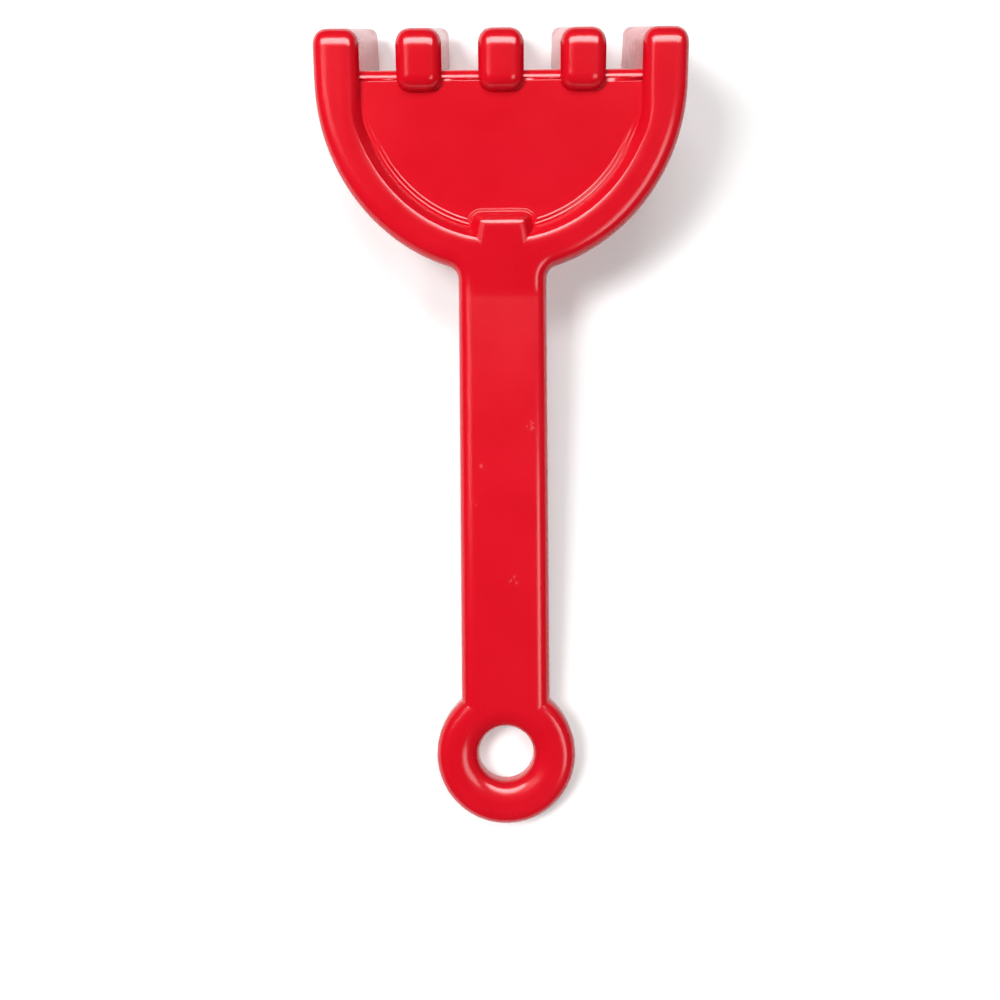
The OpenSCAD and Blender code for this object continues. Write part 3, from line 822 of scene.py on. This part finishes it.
class Finish:
    """One material and its nodes."""

    def __init__(self, name):
        self.material = bpy.data.materials.new(name)
        self.material.use_nodes = True
        self.tree = self.material.node_tree
        self.tree.nodes.clear()

    def join(self, socket, value):
        if isinstance(value, Wire):
            self.tree.links.new(value.socket, socket)
        else:
            socket.default_value = value

    def node(self, kind, settings=None, inputs=None, output=0):
        """Adds a node of this kind, sets its settings first and then its sockets."""
        made = self.tree.nodes.new("ShaderNode" + kind)
        for key, value in (settings or {}).items():
            setattr(made, key, value)
        for key, value in (inputs or {}).items():
            self.join(made.inputs[key], value)
        return Wire(self, made.outputs[output])

    def place(self):
        """Where the point is in its object, as a vector and as its three parts."""
        whole = self.node("TexCoord", output=3)
        apart = self.node("SeparateXYZ", inputs={"Vector": whole})
        return whole, [Wire(self, socket) for socket in apart.socket.node.outputs]

    def mixed(self, factor, first, second):
        """A colour between two."""
        settings = {"data_type": "RGBA", "blend_type": "MIX"}
        return self.node("Mix", settings, {"Factor": factor, 6: first, 7: second}, output=2)

    def done(self, surface):
        """The finished material, with this shader as its surface."""
        out = self.tree.nodes.new("ShaderNodeOutputMaterial")
        self.join(out.inputs["Surface"], surface)
        return self.material


# Spots on the grip, each with its x, y and radius: where the plastic was let in, and
# where it is scuffed.
GATES = ((-0.3, 44.4, 0.5), (-0.5, 26.1, 0.5))
SCUFFS = ((2.5, 52.5, 2.4), (8.2, 99.0, 2.0), (-8.8, 76.0, 1.4), (-6.5, 87.0, 1.4))
# The ribs cross at every pitch along the grip, from this far before the bend.
RIB_PITCH, RIB_GAP = 24.0, 1.4
DYE_DEEP, DYE_BRIGHT = (0.700, 0.0030, 0.0135, 1.0), (0.755, 0.0050, 0.0175, 1.0)
WORN_RED = (0.80, 0.16, 0.18, 1.0)
PLASTIC_IOR = 1.49


def red_plastic():
    """Glossy dyed plastic: a faint orange peel and slow waves from the mould, fine
    scratches, a few scuffs on the grip, the sink marks of the crossed ribs and the two
    spots where the plastic was let in, with slightly uneven dye."""
    f = Finish("red_plastic")
    place, parts = f.place()
    x, y, z = (part * 1000.0 for part in parts)

    def noise(scale, detail=2.0, rough=0.5, vector=place):
        inputs = {"Vector": vector, "Scale": scale, "Detail": detail, "Roughness": rough}
        return f.node("TexNoise", {"noise_dimensions": "3D"}, inputs)

    def spots(places):
        """1 in the middle of each spot, falling straight to 0 at its radius."""
        highest = None
        for px, py, radius in places:
            away = ((x - px) ** 2.0 + (y - py) ** 2.0).root()
            spot = 1.0 - away.between(0.0, radius)
            highest = spot if highest is None else highest.most(spot)
        return highest

    peel = noise(1100.0)
    waves = noise(55.0)
    slow = noise(14.0, 1.0)
    # the sink marks, the faintest dips, on the grip's flat top only
    half, rest = GRIP_W / 2, np.radians(REST_TILT)
    along = y * float(np.cos(rest)) + z * float(np.sin(rest))
    phase = (GRIP_L - BEND_RUN - RIB_GAP - along) / RIB_PITCH
    crossing = (phase + x / GRIP_W).zigzag(0.5).least((phase - x / GRIP_W).zigzag(0.5))
    on_grip = along.between(24.0, 30.0) * (1.0 - along.between(GRIP_L - 6.0, GRIP_L))
    on_grip = on_grip * (1.0 - x.size().between(half - 5.0, half - 3.4))
    sink = (1.0 - crossing.between(0.0, 0.07)) * on_grip
    gates = spots(GATES)
    # scuffs are broken up by noise, and scratches are noise stretched along the grip
    scuffs = spots(SCUFFS) * noise(900.0, 3.0, 0.7).between(0.5, 0.62)
    turn = {"Vector": place, "Rotation": (0.0, 0.0, 0.18), "Scale": (1.0, 0.06, 1.0)}
    stretch = f.node("Mapping", {"vector_type": "POINT"}, turn)
    hair = noise(1500.0, 2.0, 0.6, stretch).between(0.66, 0.72) * slow.between(0.5, 0.7)
    height = peel * 0.010 + waves * 0.030 - sink * 0.018 + gates * 0.12 - scuffs * 0.03
    bump = f.node("Bump", inputs={"Strength": 0.35, "Distance": 0.001, "Height": height})
    colour = f.mixed((waves * 0.5 + slow * 0.5).between(0.36, 0.64), DYE_DEEP, DYE_BRIGHT)
    worn = (scuffs * 0.35 + hair * 0.06).least(0.5)
    rough = (0.13 + waves * 0.05 + slow * 0.05 + scuffs * 0.25 + hair * 0.10).least(0.6)
    inputs = {
        "Base Color": f.mixed(worn, colour, WORN_RED),
        "Roughness": rough,
        "Normal": bump,
        "IOR": PLASTIC_IOR,
        "Specular IOR Level": 0.5,
    }
    return f.done(f.node("BsdfPrincipled", inputs=inputs))


# ---------------------------------------------------------------- building it
plastic = red_plastic()
body(plastic)
ring(plastic)
tooth("left_outer_tooth", "tooth_left_outer", plastic, -OUTER_X, False)
tooth("left_inner_tooth", "tooth_left_inner", plastic, -TOOTH_PITCH, True)
tooth("centre_tooth", "tooth_centre", plastic, 0.0, True)
tooth("right_inner_tooth", "tooth_right_inner", plastic, TOOTH_PITCH, True)
tooth("right_outer_tooth", "tooth_right_outer", plastic, OUTER_X, False)
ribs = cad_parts["grip_ribs"]
ribs.data.materials.clear()
ribs.data.materials.append(plastic)


# ---------------------------------------------------------------- floor, light, camera
# From here on, places are in metres. Around FLOOR_MID the floor looks like paper as far
# as PAPER_R and plain white from WHITE_R on.
FLOOR_MID, PAPER_R, WHITE_R, FLOOR_HALF, FLOOR_GAP = 0.11, 0.20, 0.42, 3.0, 0.0002
WHITE, PAPER, PAPER_GLOW = (1.0, 1.0, 1.0, 1.0), (0.82, 0.82, 0.82, 1.0), 0.30
WORLD_LIGHT = 0.06
# The camera's place in the grip's frame in millimetres, its roll in degrees, its focal
# length and half its picture in picture elements, and its sensor's width in millimetres.
CAMERA_PLACE, CAMERA_ROLL = (-1.31, 77.9, 272.7), 0.46
FOCAL_PX, HALF_PX, SENSOR = 900.0, 500.0, 36.0


def floor(level):
    """A wide pale floor: paper white to the camera and in the gloss of the plastic, and
    only as bright as paper to everything else. Away from the rake and its shadow it is
    plain white."""
    f = Finish("white_floor")
    path = f.node("LightPath", output=0)
    seen = path.most(Wire(f, path.socket.node.outputs["Is Glossy Ray"]))
    paper = f.node("BsdfDiffuse", inputs={"Color": PAPER})
    glow = f.node("Emission", inputs={"Color": WHITE, "Strength": PAPER_GLOW})
    near = f.node("AddShader", inputs={0: paper, 1: glow})
    _, (x, y, _) = f.place()
    away = (x**2.0 + (y - FLOOR_MID) ** 2.0).root().between(PAPER_R, WHITE_R)
    white = f.node("Emission", inputs={"Color": WHITE, "Strength": 1.0})
    both = f.node("MixShader", inputs={0: away, 1: near, 2: white})
    material = f.done(f.node("MixShader", inputs={0: seen, 1: paper, 2: both}))
    mesh = bpy.data.meshes.new("floor")
    r = FLOOR_HALF
    corners = [(-r, -r, level), (r, -r, level), (r, r, level), (-r, r, level)]
    mesh.from_pydata(corners, [], [(0, 1, 2, 3)])
    mesh.materials.append(material)
    thing = bpy.data.objects.new("floor", mesh)
    bpy.context.scene.collection.objects.link(thing)


def lamp(name, place, aim, width, height, power, mirrored=True, lights=True):
    """A rectangular soft light at a place, aimed at a point of the rake, its height
    along the rake. One that isn't mirrored only lights the plastic and the floor, and
    one that doesn't light is only seen in the gloss."""
    data = bpy.data.lights.new(name, "AREA")
    data.shape, data.size, data.size_y, data.energy = "RECTANGLE", width, height, power
    thing = bpy.data.objects.new(name, data)
    back = (Vector(place) - Vector(aim)).normalized()
    along = (Vector((0.0, 1.0, 0.0)) - back * back.y).normalized()
    across = along.cross(back)
    matrix = Matrix((across, along, back)).transposed().to_4x4()
    thing.matrix_world = Matrix.Translation(place) @ matrix
    thing.visible_glossy = mirrored
    thing.visible_diffuse = lights
    bpy.context.scene.collection.objects.link(thing)


def surroundings():
    """A white world to the camera, and a dim grey one to the rake."""
    world = bpy.data.worlds.new("studio")
    bpy.context.scene.world = world
    world.use_nodes = True
    tree = world.node_tree
    tree.nodes.clear()
    path = tree.nodes.new("ShaderNodeLightPath")
    mix = tree.nodes.new("ShaderNodeMixShader")
    out = tree.nodes.new("ShaderNodeOutputWorld")
    tree.links.new(path.outputs["Is Camera Ray"], mix.inputs[0])
    for socket, strength in ((1, WORLD_LIGHT), (2, 1.0)):
        background = tree.nodes.new("ShaderNodeBackground")
        background.inputs["Color"].default_value = WHITE
        background.inputs["Strength"].default_value = strength
        tree.links.new(background.outputs[0], mix.inputs[socket])
    tree.links.new(mix.outputs[0], out.inputs["Surface"])


def camera():
    """The photograph's view: straight down on the grip from 27 cm, a hair off square."""
    roll = np.radians(CAMERA_ROLL)
    back = turned([0.0, 0.0, 1.0], REST_TILT)
    up = turned([np.sin(roll), np.cos(roll), 0.0], REST_TILT)
    data = bpy.data.cameras.new("camera")
    data.sensor_fit, data.sensor_width = "HORIZONTAL", SENSOR
    data.lens = SENSOR / 2 / (HALF_PX / FOCAL_PX)
    data.clip_start, data.clip_end = 0.01, 20.0
    thing = bpy.data.objects.new("camera", data)
    matrix = np.eye(4)
    matrix[:3, 0], matrix[:3, 1], matrix[:3, 2] = np.cross(up, back), up, back
    matrix[:3, 3] = to_metres(CAMERA_PLACE)
    thing.matrix_world = Matrix(matrix.tolist())
    bpy.context.scene.collection.objects.link(thing)
    bpy.context.scene.camera = thing


# The far strip is only seen in the gloss, and the two lamps after it only light.
floor(cad_low.z - FLOOR_GAP)
lamp("far_strip", (0.0, 0.505, 0.80), (0.0, 0.14, 0.0), 1.16, 0.34, 15.6, lights=False)
lamp("far_softbox", (0.0, 0.50, 0.85), (0.0, 0.10, 0.0), 0.50, 0.30, 2.8, mirrored=False)
lamp("left_softbox", (-0.44, 0.12, 0.79), (0.0, 0.08, 0.0), 0.32, 0.32, 6.1, mirrored=False)
lamp("right_softbox", (0.37, -0.17, 0.70), (0.0, 0.06, 0.0), 0.19, 0.44, 1.2)
surroundings()
camera()

view = bpy.context.scene.view_settings
view.view_transform = "Standard"
